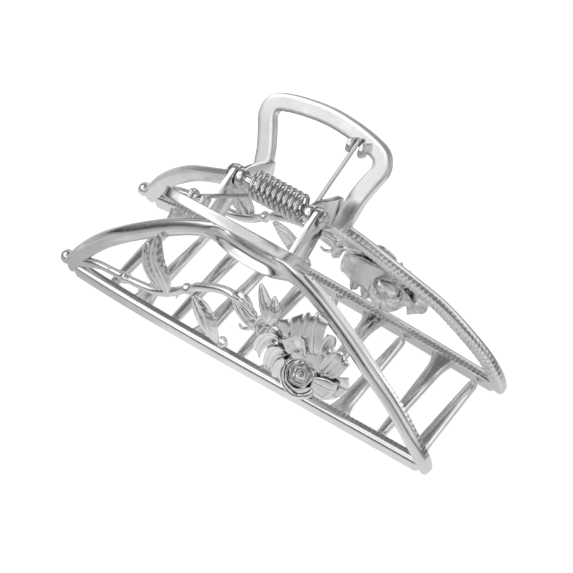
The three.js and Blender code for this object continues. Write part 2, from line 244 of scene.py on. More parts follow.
def ellipse_sections(half_width, half_depth, sides, power=1.0):
    """One oval section for each ring of a bar. A power under 1 makes it squarer."""
    angle = np.arange(sides) / sides * 2 * math.pi
    c, s = np.cos(angle), np.sin(angle)
    c = np.sign(c) * np.abs(c) ** power
    s = np.sign(s) * np.abs(s) ** power
    half_width = np.atleast_1d(half_width)[:, None]
    half_depth = np.atleast_1d(half_depth)[:, None]
    return np.stack([c * half_width, s * half_depth], -1)


def thick_sheet(grid, thickness, rim):
    """A closed leaf or petal: both faces of a (rows, columns, 3) grid, thinning towards the rim."""
    rows, columns = grid.shape[:2]
    du = np.gradient(grid, axis=1)
    dv = np.gradient(grid, axis=0)
    normal = np.cross(du, dv)
    normal /= np.maximum(np.linalg.norm(normal, axis=-1, keepdims=True), 1e-9)
    r = np.linspace(0, 1, rows)[:, None]
    c = np.linspace(0, 1, columns)[None]
    edge = np.minimum(np.minimum(r, 1 - r) * 8, np.minimum(c, 1 - c) * 8).clip(0, 1)
    half = thickness / 2 * (rim + (1 - rim) * np.sqrt(1 - (1 - edge) ** 2))[..., None]
    front = (grid + normal * half).reshape(-1, 3)
    back = (grid - normal * half).reshape(-1, 3)
    index = np.arange(rows * columns).reshape(rows, columns)
    quads = np.stack([index[:-1, :-1], index[:-1, 1:], index[1:, 1:], index[1:, :-1]], -1).reshape(-1, 4)
    below = quads[:, ::-1] + rows * columns
    loop = np.r_[index[0], index[1:, -1], index[-1, -2::-1], index[-2:0:-1, 0]]
    after = np.roll(loop, -1)
    rim_faces = np.stack([loop, after, after + rows * columns, loop + rows * columns], -1)
    return np.vstack([front, back]), np.vstack([quads, below, rim_faces]).tolist()


def ball(centre, radius, rings, sides):
    """A closed ball."""
    polar = np.linspace(0.02, math.pi - 0.02, rings)[:, None]
    angle = np.arange(sides) / sides * 2 * math.pi
    height = np.broadcast_to(np.cos(polar), (rings, sides))
    unit = np.stack([np.sin(polar) * np.cos(angle), np.sin(polar) * np.sin(angle), height], -1)
    return tube(np.asarray(centre, float) + unit * radius)


# ---------------------------------------------------------------- materials


def node_material(name):
    """A new material with one principled shader, and what is needed to build on it."""
    material = bpy.data.materials.new(name)
    material.use_nodes = True
    nodes = material.node_tree.nodes
    nodes.clear()
    out = nodes.new("ShaderNodeOutputMaterial")
    shader = nodes.new("ShaderNodeBsdfPrincipled")
    material.node_tree.links.new(shader.outputs["BSDF"], out.inputs["Surface"])
    return material, nodes, material.node_tree.links, shader


def ramp(nodes, stops):
    """A colour ramp through the (position, colour) stops."""
    node = nodes.new("ShaderNodeValToRGB")
    node.color_ramp.elements[0].position = stops[0][0]
    node.color_ramp.elements[0].color = stops[0][1]
    node.color_ramp.elements[1].position = stops[-1][0]
    node.color_ramp.elements[1].color = stops[-1][1]
    for position, colour in stops[1:-1]:
        node.color_ramp.elements.new(position).color = colour
    return node


def grey(value, warm=0.0):
    """A grey, a little warmer where warm is above nothing."""
    return (value + warm, value, value - warm, 1)


def noise(nodes, links, coordinates, scale, detail, stretch=(1, 1, 1)):
    """A noise texture in the object's own space, stretched along its axes."""
    mapping = nodes.new("ShaderNodeMapping")
    mapping.inputs["Scale"].default_value = stretch
    links.new(coordinates.outputs["Object"], mapping.inputs["Vector"])
    node = nodes.new("ShaderNodeTexNoise")
    node.inputs["Scale"].default_value = scale
    node.inputs["Detail"].default_value = detail
    links.new(mapping.outputs["Vector"], node.inputs["Vector"])
    return node


def multiply(nodes, links, a, b, factor=1.0):
    """The product of two colours, mixed in by factor."""
    mix = nodes.new("ShaderNodeMix")
    mix.data_type = "RGBA"
    mix.blend_type = "MULTIPLY"
    mix.inputs["Factor"].default_value = factor
    links.new(a.outputs["Color"], mix.inputs["A"])
    links.new(b.outputs["Color"], mix.inputs["B"])
    return mix


def plated_metal(name, bright, dull, rough, grain, bump, stretch=(1, 1, 1)):
    """Silver plating: cloudy brightness, with painted shade darkening the colour in the recesses, and a fine
    surface grain.
    """
    material, nodes, links, shader = node_material(name)
    coordinates = nodes.new("ShaderNodeTexCoord")
    cloud = noise(nodes, links, coordinates, PLATING["cloud"], 5)
    tone = ramp(nodes, [(0.3, grey(dull)), (0.65, grey(bright, 0.004))])
    links.new(cloud.outputs["Fac"], tone.inputs["Fac"])
    # Painted shade: ambient occlusion darkens the base colour in recesses and between parts.
    hollow = nodes.new("ShaderNodeAmbientOcclusion")
    hollow.inputs["Distance"].default_value = PLATING["hollow"] * MM
    hollow.samples = 8
    painted_shade = ramp(nodes, [(0.15, grey(PLATING["painted_shade_tone"])), (0.6, grey(1.0))])
    links.new(hollow.outputs["AO"], painted_shade.inputs["Fac"])
    colour = multiply(nodes, links, tone, painted_shade, PLATING["painted_shade_share"])
    links.new(colour.outputs["Result"], shader.inputs["Base Color"])
    fine = noise(nodes, links, coordinates, grain, 6, stretch)
    gloss = nodes.new("ShaderNodeMapRange")
    gloss.inputs["From Min"].default_value = 0.3
    gloss.inputs["From Max"].default_value = 0.7
    gloss.inputs["To Min"].default_value, gloss.inputs["To Max"].default_value = rough
    links.new(fine.outputs["Fac"], gloss.inputs["Value"])
    links.new(gloss.outputs["Result"], shader.inputs["Roughness"])
    relief = nodes.new("ShaderNodeBump")
    relief.inputs["Strength"].default_value = bump
    relief.inputs["Distance"].default_value = PLATING["relief"] * MM
    links.new(fine.outputs["Fac"], relief.inputs["Height"])
    links.new(relief.outputs["Normal"], shader.inputs["Normal"])
    shader.inputs["Metallic"].default_value = 1.0
    return material


def floor_material():
    """A pale floor. The metal sees a painted reflection of it instead, greyer than the camera sees the floor,
    fading away from the clip and dimmed in patches.
    """
    material, nodes, links, shader = node_material("pale_floor")
    coordinates = nodes.new("ShaderNodeTexCoord")
    cloud = noise(nodes, links, coordinates, 3, 3)
    tone = ramp(nodes, [(0.3, grey(0.93)), (0.7, grey(0.96))])
    links.new(cloud.outputs["Fac"], tone.inputs["Fac"])
    links.new(tone.outputs["Color"], shader.inputs["Base Color"])
    links.new(tone.outputs["Color"], shader.inputs["Emission Color"])
    shader.inputs["Emission Strength"].default_value = FLOOR_GLOW
    shader.inputs["Roughness"].default_value = 0.9
    # The painted reflection's glow: bright near the clip, greyer farther off, dimmed in noise patches.
    distance = nodes.new("ShaderNodeVectorMath")
    distance.operation = "LENGTH"
    links.new(coordinates.outputs["Object"], distance.inputs[0])
    fade = ramp(nodes, [(metres, grey(value)) for metres, value in PAINTED_REFLECTION_FADE])
    links.new(distance.outputs["Value"], fade.inputs["Fac"])
    patch = noise(nodes, links, coordinates, 24, 1)
    dim = ramp(nodes, [(0.4, grey(0.66)), (0.56, grey(1.0))])
    links.new(patch.outputs["Fac"], dim.inputs["Fac"])
    reflection_tone = multiply(nodes, links, fade, dim)
    painted_reflection = nodes.new("ShaderNodeEmission")
    links.new(reflection_tone.outputs["Result"], painted_reflection.inputs["Color"])
    painted_reflection.inputs["Strength"].default_value = FLOOR_PAINTED_REFLECTION
    # Only glossy rays see the painted reflection; the camera sees the pale floor.
    seen = nodes.new("ShaderNodeLightPath")
    mix = nodes.new("ShaderNodeMixShader")
    links.new(seen.outputs["Is Glossy Ray"], mix.inputs["Fac"])
    links.new(shader.outputs["BSDF"], mix.inputs[1])
    links.new(painted_reflection.outputs["Emission"], mix.inputs[2])
    out = next(node for node in nodes if node.type == "OUTPUT_MATERIAL")
    links.new(mix.outputs["Shader"], out.inputs["Surface"])
    return material


CAST = plated_metal("plated_casting", bright=0.9, dull=0.8, rough=(0.1, 0.22), grain=1400, bump=0.12)
BRUSHED = plated_metal("brushed_casting", bright=0.88, dull=0.77, rough=(0.14, 0.26), grain=1600, bump=0.06,
                       stretch=(1, 1, 4))
ORNAMENT = plated_metal("ornament_casting", bright=0.9, dull=0.8, rough=(0.14, 0.27), grain=1500, bump=0.14)
WIRE = plated_metal("spring_wire", bright=0.78, dull=0.64, rough=(0.05, 0.1), grain=1500, bump=0.08)


# ---------------------------------------------------------------- the castings


def ribbed_sections(path, half_width, half_depth, scale, dish):
    """A bar's sections: domed outside, hollowed there by `dish`, and slanting ribs across the inside."""
    length = np.r_[0, np.cumsum(np.linalg.norm(np.diff(path, axis=0), axis=1))]
    dome = np.linspace(0.04, math.pi - 0.04, 11)
    outside = np.stack([np.cos(dome), 0.02 + 0.98 * np.sin(dome) ** 0.85], 1)
    across = np.linspace(-1, 1, 9)
    inside = np.stack([across, -1 + 0.35 * np.abs(across) ** 5], 1)
    profile = np.vstack([outside, inside])
    sections = np.tile(profile, (len(path), 1, 1))
    sections[..., 0] *= np.broadcast_to(half_width, (len(path),))[:, None]
    sections[..., 1] *= half_depth
    sections[:, :len(outside), 1] -= dish[:, None] * (1 - outside[:, 0] ** 2) ** 2
    turn = 2 * math.pi * (length[:, None] + RIB["slant"] * sections[..., 0]) / RIB["pitch"]
    from_end = np.minimum(length, length[-1] - length)[:, None]
    strength = np.clip(from_end / RIB["plain_end"], 0, 1) ** 2
    inner = np.clip(-1.5 * profile[:, 1] - 0.6, 0, 1)
    groove = RIB["depth"] * inner * strength * (0.5 + 0.5 * np.cos(turn)) ** 1.5
    sections *= 1 - groove[..., None]
    return sections * scale[:, None, None]


def rail_mesh(path, half_width, half_depth, reach, dish):
    """A ribbed bar on the shell with round ends."""
    scale = rounded_ends(path, reach)
    normal = shell_normal(path[:, 2])
    return sweep(path, normal, ribbed_sections(path, half_width, half_depth, scale, dish))


def ribbed_count(path):
    """How many rings a bar needs to show its ribs."""
    return int(path_length(path) / RIB["pitch"] * RIB["per_pitch"])


def arch_rail():
    """The half-moon's upper bar, wide and dished in the middle where it carries the handle."""
    path = arch_path(ribbed_count(arch_path(200)))
    t = np.linspace(0, 1, len(path))
    saddle = BAR["saddle"] * np.exp(-((path[:, 0] / BAR["saddle_half"]) ** 4))
    nose = np.minimum(1, BAR["nose"] + BAR["nose_growth"] * np.minimum(t, 1 - t))
    dish = BAR["dish"] * np.exp(-(((path[:, 0] - BAR["dish_x"]) / BAR["dish_half"]) ** 4))
    return rail_mesh(path, (BAR["half_width"] + saddle) * nose, BAR["half_depth"], 2.2, dish)


def base_rail():
    """The half-moon's straight lower bar."""
    x = np.linspace(-RAIL["half"] + 1, RAIL["half"] - 1, 60)
    path = smooth_path(rail_point(x), ribbed_count(rail_point(x)))
    return rail_mesh(path, BAR["half_width"], BAR["half_depth"], 1.5, np.zeros(len(path)))


def tooth_bar(jaw, number):
    """A tapering bar with a soft ridge, flared where it grows out of the rail."""
    root = rail_point(jaw["teeth"][number])
    reach = 2 * root[1] - BAR["half_depth"] - TOOTH["tip_gap"]
    t = np.linspace(-0.01, 1, 48)
    path = root + np.stack([jaw["lean"] * t, -reach * t, -TOOTH["drop"] * t**2], 1)
    taper = TOOTH["root"] + (TOOTH["tip"] - TOOTH["root"]) * t
    flare = TOOTH["flare"] * np.clip(1 - t / TOOTH["flare_part"], 0, 1) ** 2.4
    scale = rounded_ends(path, 1.1, start=False)
    depth = TOOTH["half_depth"] * (1 + 0.25 * flare)
    sections = ellipse_sections((taper + flare) * scale, depth * scale, 18, 0.8)
    top = sections[..., 1] > 0
    ridge = TOOTH["ridge"] * np.exp(-((sections[..., 0] / TOOTH["ridge_half"]) ** 2)) * scale[:, None]
    sections[..., 1] += np.where(top, ridge, 0) - 0.1 * scale[:, None]
    return sweep(path, np.array([0, 0, 1.0]), sections)


def handle_loop():
    """The flat, bevelled loop that the thumb presses."""
    side = np.array(HANDLE_SIDE)
    left = on_handle(HANDLE["shift"] - side[:, 0], side[:, 1])
    right = on_handle(HANDLE["shift"] + side[::-1, 0], side[::-1, 1])
    top = on_handle([HANDLE["shift"]], [HANDLE["top_up"]])
    path = smooth_path(np.vstack([left, top, right]), 170)
    w, d, bevel = HANDLE["half_width"], HANDLE["half_depth"], HANDLE["bevel"]
    x, y = w - bevel, d - bevel
    profile = []
    for quarter, (cx, cy) in enumerate(((x, y), (-x, y), (-x, -y), (x, -y))):
        for k in range(5):
            angle = math.pi / 2 * (quarter + k / 4)
            profile.append((cx + bevel * math.cos(angle), cy + bevel * math.sin(angle)))
        if quarter == 0:
            profile += [(0.5 * w, d), (0, d), (-0.5 * w, d)]
        if quarter == 2:
            profile += [(-0.5 * w, -d), (0, -d), (0.5 * w, -d)]
    sections = np.broadcast_to(np.array(profile), (len(path), len(profile), 2))
    normal = np.array([0, HANDLE["lean_z"], -HANDLE["lean_y"]])
    return sweep(path, normal, sections)


def lug_plate(jaw, sign):
    """The plate from the foot of the handle leg in to the hinge, with a round head on the pin."""
    angles = np.linspace(LUG["arc_from"], LUG["arc_to"], 22) * math.pi
    head = LUG["head"] * np.stack([np.cos(angles), np.sin(angles)], 1)
    outline = np.vstack([head, LUG_EDGE, smooth_path([*LUG_TOP, head[0]], 12)[:-1]])
    x = sign * jaw["lug_x"]
    half, bevel = LUG["half_thickness"], LUG["bevel"]
    ahead, behind = np.roll(outline, -1, 0), np.roll(outline, 1, 0)
    along = (ahead - behind) / np.linalg.norm(ahead - behind, axis=1, keepdims=True)
    inward = np.stack([-along[:, 1], along[:, 0]], 1)
    rings = []
    edge = [(0, 1), (0.3, 0.3), (1, 0)]
    for side, corner in ((-1, edge), (1, edge[::-1])):
        for back, inset in corner:
            flat = outline + inward * inset * bevel
            rings.append(np.column_stack([np.full(len(flat), x + side * (half - back * bevel)), flat]))
    return tube(rings)


def spring_ear(x):
    """One of the two lugs that hold a spring arm against the handle."""
    out = np.linspace(EAR["foot"], EAR["top"], 14)
    path = on_handle(x, EAR["up"], -out)
    scale = rounded_ends(path, 1.0, start=False)
    sections = ellipse_sections(EAR["half_tall"] * scale, EAR["half_thick"] * (0.4 + 0.6 * scale), 20, 0.6)
    return sweep(path, np.array([1.0, 0, 0]), sections)


def finial():
    """The ball at the left end of the frame, with its neck."""
    centre = np.array([BALL["x"], shell_y(BALL["z"]) - BALL["sunk"], BALL["z"]])
    foot = on_shell(BALL["foot_x"], BALL["foot_z"])
    neck = smooth_path([centre, (centre + foot) / 2, foot], 14)
    thick = np.linspace(BALL["neck"], BALL["neck_foot"], len(neck))
    collar = sweep(neck, np.array([0, 0, 1.0]), ellipse_sections(thick, thick, 18))
    return join([ball(centre, BALL["radius"], 22, 32), collar])


def thorn(root, away, along):
    """A thorn that grows away from the stem and hooks back along it."""
    line = [root + away * 0.5, root + away * 1.15 - along * 0.15, root + away * 1.75 - along * 0.7]
    size = np.linspace(0.55, 0.12, 9)
    return sweep(smooth_path(line, 9), along, ellipse_sections(size, size, 10))


def stem():
    """The rose's stem, with its two knots, and thorns that point back along it."""
    points = np.array(STEM)
    path = smooth_path(on_shell(points[:, 0], points[:, 1], points[:, 2]), 240)
    t = np.linspace(0, 1, len(path))
    radius = STEM_RADIUS * (1 + 0.12 * np.sin(t * 23) * np.sin(t * 7 + 1))
    for knot in STEM_KNOTS:
        radius = radius + KNOT["swell"] * np.exp(-(((t - knot) / KNOT["length"]) ** 2))
        radius = radius - KNOT["waist"] * np.exp(-(((t - knot - KNOT["waist_after"]) / KNOT["length"]) ** 2))
    radius = radius * rounded_ends(path, 0.9)
    parts = [sweep(path, shell_normal(path[:, 2]), ellipse_sections(radius, radius, 20))]
    for at, side in THORNS:
        k = int(at * len(path))
        along = path[k + 2] - path[k - 2]
        along /= np.linalg.norm(along)
        out = shell_normal(path[k, 2])
        away = np.cross(along, out) * side * 0.9 + out * 0.35
        parts.append(thorn(path[k], away, along))
    return join(parts)


# ---------------------------------------------------------------- leaves and the rose


def leaf(spine, half_width, out, lift, teeth):
    """A pointed leaf along a spine on the shell, with a softly sawn edge, a sunk midrib and side veins."""
    rows, columns = 46, 25
    v = np.linspace(0, 1, rows)[:, None]
    u = np.linspace(-1, 1, columns)[None]
    middle = smooth_path(spine, rows)
    along = np.gradient(middle, axis=0)
    along /= np.linalg.norm(along, axis=1, keepdims=True)
    across = np.stack([-along[:, 1], along[:, 0]], 1)
    width = half_width * np.sin(math.pi * np.clip(v, 0.02, 0.985) ** 0.8) ** 0.75 + 0.12
    saw = 1 + 0.04 * ((v * teeth) % 1) * np.abs(u) ** 4
    side = u * width * saw
    flat = middle[:, None] + side[..., None] * across[:, None]
    fading = np.abs(u) ** 0.5 * (1 - np.abs(u) ** 6)
    veins = 0.04 * np.cos(2 * math.pi * (v * teeth - 1.1 * np.abs(u))) * fading
    keel = -0.5 * np.exp(-((u / 0.16) ** 2)) * (1 - v) ** 0.3
    height = out + 1.1 * (1 - u**2) * np.sin(math.pi * v) + veins + keel + lift * v**2
    return thick_sheet(on_shell(flat[..., 0], flat[..., 1], height), 0.62, 0.45)


def petal(left, right, out, cup, crown=0.0, skew=1.0, roll=0.4, folds=1.0, fold=0.25, creases=()):
    """A petal on the shell between two side curves that run from its base to its rim.

    out is its height off the shell at base and rim, cup its bulge between the sides, crown how far the rim
    reaches past its corners, skewed to one side, and roll how far the rim turns down. It has waves across it,
    as many as folds and as high as fold, and a crease is a narrow groove from base to rim.
    """
    rows, columns = 30, 61
    v = np.linspace(0, 1, rows)[:, None]
    u = np.linspace(0, 1, columns)[None]
    left, right = smooth_path(left, rows), smooth_path(right, rows)
    heading = (left[-1] + right[-1]) - (left[0] + right[0])
    heading /= np.linalg.norm(heading)
    flat = left[:, None] * (1 - u[..., None]) + right[:, None] * u[..., None]
    bulge = np.sin(math.pi * u)
    flat = flat + (crown * np.sin(math.pi * u**skew) * v**1.5)[..., None] * heading
    height = out[0] + (out[1] - out[0]) * v + cup * bulge * np.sin(math.pi * (0.15 + 0.7 * v))
    height = height - roll * np.clip((v - 0.75) / 0.25, 0, 1) ** 2
    height = height + fold * np.sin(2 * math.pi * folds * u + 0.8) * (0.35 + 0.65 * v)
    height = height + 0.02 * np.sin(2 * math.pi * 6 * u + 2 * v) * v
    depth = 0.4 * np.sin(math.pi * (0.05 + 0.85 * v)) ** 0.5
    for place in creases:
        height = height - depth * np.exp(-(((u - place) / 0.025) ** 2))
    return thick_sheet(on_shell(flat[..., 0], flat[..., 1], height), 0.55, 0.5)


def head_frame(axis):
    """The two directions across the rose's head."""
    side = np.cross(axis, [0, 0, 1.0])
    side /= np.linalg.norm(side)
    return side, np.cross(side, axis)


def on_head(centre, axis, angle, radius, height):
    """Points round the rose's axis, from their angle, distance and height along it."""
    side, up = head_frame(axis)
    radial = np.cos(angle)[..., None] * side + np.sin(angle)[..., None] * up
    return centre + radial * radius[..., None] + axis * height[..., None]


def globe_petal(centre, axis, phi, span, radius, rim, curl):
    """A big petal of the rose's head: part of a globe up to `rim` of a half turn, with a curled lip."""
    rows, columns = 26, 37
    v = np.linspace(0, 1, rows)[:, None]
    u = np.linspace(-1, 1, columns)[None]
    angle = phi + u * span / 2 * (0.6 + 0.4 * np.sin(math.pi / 2 * v))
    reach = 1 - 0.16 * np.abs(u) ** 2.5 + 0.025 * np.cos(6 * u + phi)
    polar = math.pi * (0.12 + (rim - 0.12) * v * reach)
    rolled = np.clip((v - 0.82) / 0.18, 0, 1) ** 2
    ripple = 1 + 0.02 * np.sin(5 * u + 3 * phi) * v
    out = radius * ripple * np.sin(polar) + curl * rolled
    height = -radius * np.cos(polar) - 0.3 * curl * rolled
    return thick_sheet(on_head(centre, axis, angle, out, height), 0.45, 0.5)


def heart_petal(centre, axis, phi, span, foot, lip, tall):
    """A small upright petal inside the mouth of the rose, wavy at its lip."""
    rows, columns = 14, 25
    v = np.linspace(0, 1, rows)[:, None]
    u = np.linspace(-1, 1, columns)[None]
    angle = phi + u * span / 2
    out = foot + (lip - foot) * v**1.5 + 0.14 * np.sin(4 * u + phi) * v
    height = 1.6 + (tall - 1.6) * v * (1 - 0.2 * u**2) + 0.1 * np.cos(7 * u + 2 * phi) * v
    return thick_sheet(on_head(centre, axis, angle, out, height), 0.4, 0.5)


def rose_bud(centre, axis):
    """The rolled petal in the middle of the rose."""
    rows, columns = 12, 70
    v = np.linspace(0, 1, rows)[:, None]
    u = np.linspace(0, 1, columns)[None]
    angle = u * 2 * math.pi * 1.4 + 0.6
    radius = (0.18 + 0.72 * u) * (0.8 + 0.2 * v)
    height = 1.8 + (2.5 - 0.5 * u) * v
    return thick_sheet(on_head(centre, axis, angle, radius, height), 0.36, 0.6)


def rose_pad():
    """The smooth cast pad behind the flower that its petals grow from."""
    rings, sides = 14, 72
    angle = np.arange(sides) / sides * 2 * math.pi
    radial = np.linspace(0.02, 1, rings)[:, None]
    scallop = 1 + 0.08 * radial * np.cos(5 * angle + 0.7)
    x = PAD["x"] + PAD["half_x"] * radial * np.cos(angle) * scallop
    z = PAD["z"] + PAD["half_z"] * radial * np.sin(angle) * scallop
    dome = np.broadcast_to(np.sqrt(1 - radial**2), x.shape)
    top = on_shell(x, z, 0.4 + 1.9 * dome)
    low = on_shell(x, z, 0.1 + 1.1 * dome)
    return tube(np.concatenate([top, low[::-1]]))


# The rose's head and the pad behind it.
ROSE = dict(x=18.6, z=-32.2, out=2.2, tilt=1.7, lean=0.6, core=3.1)
PAD = dict(x=16.4, z=-28.4, half_x=9.4, half_z=6.8)

# Rounds of equal petals in the head: how many, the angle of the first, and the shape of each.
GLOBE_ROUNDS = [
    (3, 0.5, dict(span=2.7, radius=4.65, rim=0.6, curl=0.2)),
    (3, 1.5, dict(span=2.6, radius=4.35, rim=0.67, curl=0.18)),
    (3, 0.4, dict(span=2.6, radius=4.0, rim=0.75, curl=0.05)),
]
HEART_ROUNDS = [
    (3, 0.2, dict(span=2.1, foot=1.0, lip=1.6, tall=3.7)),
    (4, 1.1, dict(span=1.9, foot=1.9, lip=2.7, tall=3.3)),
]

# The petals round the head: both side curves as (x, z) on the shell from base to rim, then the shape of each.
OUTER_PETALS = [
    dict(left=[(13, -26.4), (11.8, -23.4), (10.8, -20.9)], right=[(22.6, -24.5), (22.6, -19), (23.0, -15.6)],
         out=(1.6, 2.6), cup=0.9, crown=2.3, skew=1.8, roll=0.5, folds=1.5, fold=0.12,
         creases=(0.27, 0.56, 0.8)),
    dict(left=[(15.2, -26.8), (14.2, -24.8), (13.8, -23.2)],
         right=[(19.6, -25.6), (19.7, -23.2), (19.4, -21.4)],
         out=(3.2, 4.2), cup=-1.5, crown=0.9, roll=0.2, folds=1.0, fold=0.35),
    dict(left=[(21.6, -23.8), (22.6, -20.8), (23.6, -18)], right=[(24.6, -24.2), (25.4, -21.6), (26, -19.6)],
         out=(2.0, 2.6), cup=-1.3, crown=0.5, roll=0.2),
    dict(left=[(11, -21.8), (8.2, -21.4), (5.4, -23), (3.9, -26.6)],
         right=[(11.3, -23.6), (9, -23.8), (6.9, -25.4), (5.3, -28.6)],
         out=(2.4, 1.6), cup=-0.8, crown=0.8, creases=(0.4, 0.72)),
    dict(left=[(11.4, -24), (8.8, -24.6), (6.4, -27.2), (4.9, -31.6)],
         right=[(12.2, -26), (10.4, -26.9), (8.4, -29.6), (6.7, -33.6)],
         out=(3.4, 2.4), cup=-1.0, crown=0.7, creases=(0.34, 0.66)),
    dict(left=[(12.4, -26.6), (10, -28.2), (8.2, -31.6), (7.6, -35.6)],
         right=[(13.8, -28.6), (12.4, -30), (10.9, -33), (9.6, -37)],
         out=(3.0, 1.8), cup=-0.9, crown=0.6, creases=(0.3, 0.6)),
    dict(left=[(14, -28.6), (12, -31), (10.8, -34), (10.2, -37.2)],
         right=[(15.8, -30.6), (14.8, -33), (13.9, -35.6), (13, -38)],
         out=(3.7, 2.0), cup=-0.8, crown=0.5, creases=(0.45,)),
    dict(left=[(23, -27), (23.8, -24.2), (24.6, -21.4)], right=[(25.6, -29), (28.2, -26.2), (30, -22.6)],
         out=(2.6, 2.2), cup=-0.7, crown=1.0, folds=1.5, fold=0.25, creases=(0.3, 0.55, 0.8)),
    dict(left=[(23.6, -28.2), (27, -27), (30.2, -26)], right=[(22.4, -33.4), (23.2, -34.8), (23.8, -36.2)],
         out=(2.6, 1.8), cup=-0.8, crown=2.4, folds=1.5, fold=0.2, creases=(0.35, 0.65)),
    dict(left=[(22.8, -28.8), (25.4, -28), (28.2, -28.2)], right=[(21.6, -33), (23, -34.2), (24.6, -35)],
         out=(3.6, 2.8), cup=0.5, crown=0.9, roll=0.6, folds=1.5, fold=0.25, creases=(0.3, 0.7)),
]


def rose_bloom():
    """The whole flower: pad, head, bud and the petals round it."""
    centre = on_shell(ROSE["x"], ROSE["z"], ROSE["out"])
    axis = shell_normal(np.array(ROSE["z"])) + [ROSE["lean"], 0, ROSE["tilt"]]
    axis /= np.linalg.norm(axis)
    parts = [rose_pad(), ball(centre + 0.1 * axis, ROSE["core"], 18, 36), rose_bud(centre, axis)]
    for make_petal, rounds in ((globe_petal, GLOBE_ROUNDS), (heart_petal, HEART_ROUNDS)):
        for count, start, shape in rounds:
            for k in range(count):
                parts.append(make_petal(centre, axis, start + 2 * math.pi * k / count, **shape))
    parts += [petal(**shape) for shape in OUTER_PETALS]
    return join(parts)


def tendril(points, size, out):
    """A little hooked shoot beside a leaf."""
    path = smooth_path(on_shell([x for x, _ in points], [z for _, z in points], out), 24)
    width = np.linspace(size, size * 0.6, 24) * rounded_ends(path, size * 0.8)
    return sweep(path, shell_normal(path[:, 2]), ellipse_sections(width, width, 12))


def leaf_pair():
    """The two tall leaves near the left end."""
    tall = [(-20.6, -31.2), (-21.8, -27.0), (-23.6, -23.4), (-24.0, -19.8), (-23.7, -16.7)]
    short = [(-21.6, -31.4), (-24.2, -29.4), (-26.2, -26.4), (-27.0, -23.4), (-27.2, -20.6)]
    return join([
        leaf(tall, half_width=2.3, out=1.6, lift=0.5, teeth=8),
        leaf(short, half_width=1.7, out=1.1, lift=0.3, teeth=8),
    ])


def low_leaf():
    """The leaf that hangs to the base rail, with its curl."""
    blade = [(-13.2, -27.9), (-10.0, -31.2), (-6.1, -38.3)]
    curl = [(-6.3, -38.1), (-5.0, -38.2), (-3.7, -36.8), (-4.2, -35.2), (-5.5, -36.0)]
    return join([
        leaf(blade, half_width=2.8, out=1.2, lift=-0.2, teeth=8),
        tendril(curl, size=0.55, out=1.0),
    ])


def high_leaf():
    """The upright leaves above the rose's calyx."""
    left = [(8.2, -23.6), (6.6, -19.2), (4.5, -15.2)]
    right = [(8.4, -23.4), (9.4, -19.6), (8.8, -16.2)]
    return join([
        leaf(left, half_width=1.6, out=1.8, lift=0.2, teeth=6),
        leaf(right, half_width=1.5, out=2.1, lift=0.2, teeth=6),
    ])


def calyx_leaf():
    """The leaves where the stem meets the rose, with their hook."""
    low = [(-2.0, -21.2), (1.4, -23.8), (4.8, -27.2)]
    high = [(-2.0, -21.4), (1.2, -20.6), (4.2, -21.8)]
    hook = [(4.0, -26.9), (2.4, -28.3), (0.9, -28.9), (0.0, -28.0)]
    return join([
        leaf(low, half_width=2.2, out=1.6, lift=0.4, teeth=6),
        leaf(high, half_width=1.2, out=2.2, lift=0.3, teeth=5),
        tendril(hook, size=0.55, out=1.5),
    ])


# ---------------------------------------------------------------- the pin and the spring


def turned(profile, sides=32):
    """A solid turned about the hinge line from (x, radius) pairs."""
    angle = np.arange(sides) / sides * 2 * math.pi
    circle = np.stack([np.cos(angle), np.sin(angle)], 1)
    return tube([np.column_stack([np.full(sides, x), radius * circle]) for x, radius in profile])


def hinge_pin():
    """The rivet through the four lugs, with a domed head at each end."""
    half, head, length = PIN["half_length"], PIN["head_radius"], PIN["head_length"]
    arc = np.linspace(0, math.pi / 2, 9)
    right = [(half, PIN["radius"]), (half + 0.02, head - 0.1), (half + 0.1, head)]
    right += [(half + 0.1 + (length - 0.1) * math.sin(a), head * max(math.cos(a), 0.02)) for a in arc[1:]]
    left = [(-x, radius) for x, radius in reversed(right)]
    return turned(left + [(-6, PIN["radius"]), (6, PIN["radius"])] + right)


def torsion_spring():
    """The wire: an arm from the front handle, the coil, and an arm to the rear handle."""
    radius = SPRING["radius"]
    rear = on_handle(JAWS["rear"]["arm_x"], SPRING["arm_up"], SPRING["arm_out"])
    leave = math.atan2(rear[2], rear[1]) - math.acos(radius / math.hypot(rear[1], rear[2]))
    enter = math.pi - leave
    turning = SPRING["turns"] * 2 * math.pi + leave - enter
    angle = enter + turning * np.linspace(0, 1, 430)
    x = SPRING["start"] + SPRING["pitch"] * (angle - enter) / (2 * math.pi)
    coil = np.stack([x, radius * np.cos(angle), radius * np.sin(angle)], 1)
    front = np.array([JAWS["front"]["arm_x"], -rear[1], rear[2]])
    steps = np.linspace(0, 1, 40)[:, None]
    first = front + (coil[0] - front) * steps
    last = coil[-1] + (rear - coil[-1]) * steps
    path = np.vstack([first[:-1], coil, last[1:]])
    outward = np.tile([1.0, 0.0, 0.0], (len(path), 1))
    thick = np.full(len(path), SPRING["wire"])
    wire = ellipse_sections(thick, thick, 16)
    wire[[0, -1]] *= 0.8
    return sweep(path, outward, wire)


# ---------------------------------------------------------------- assembly


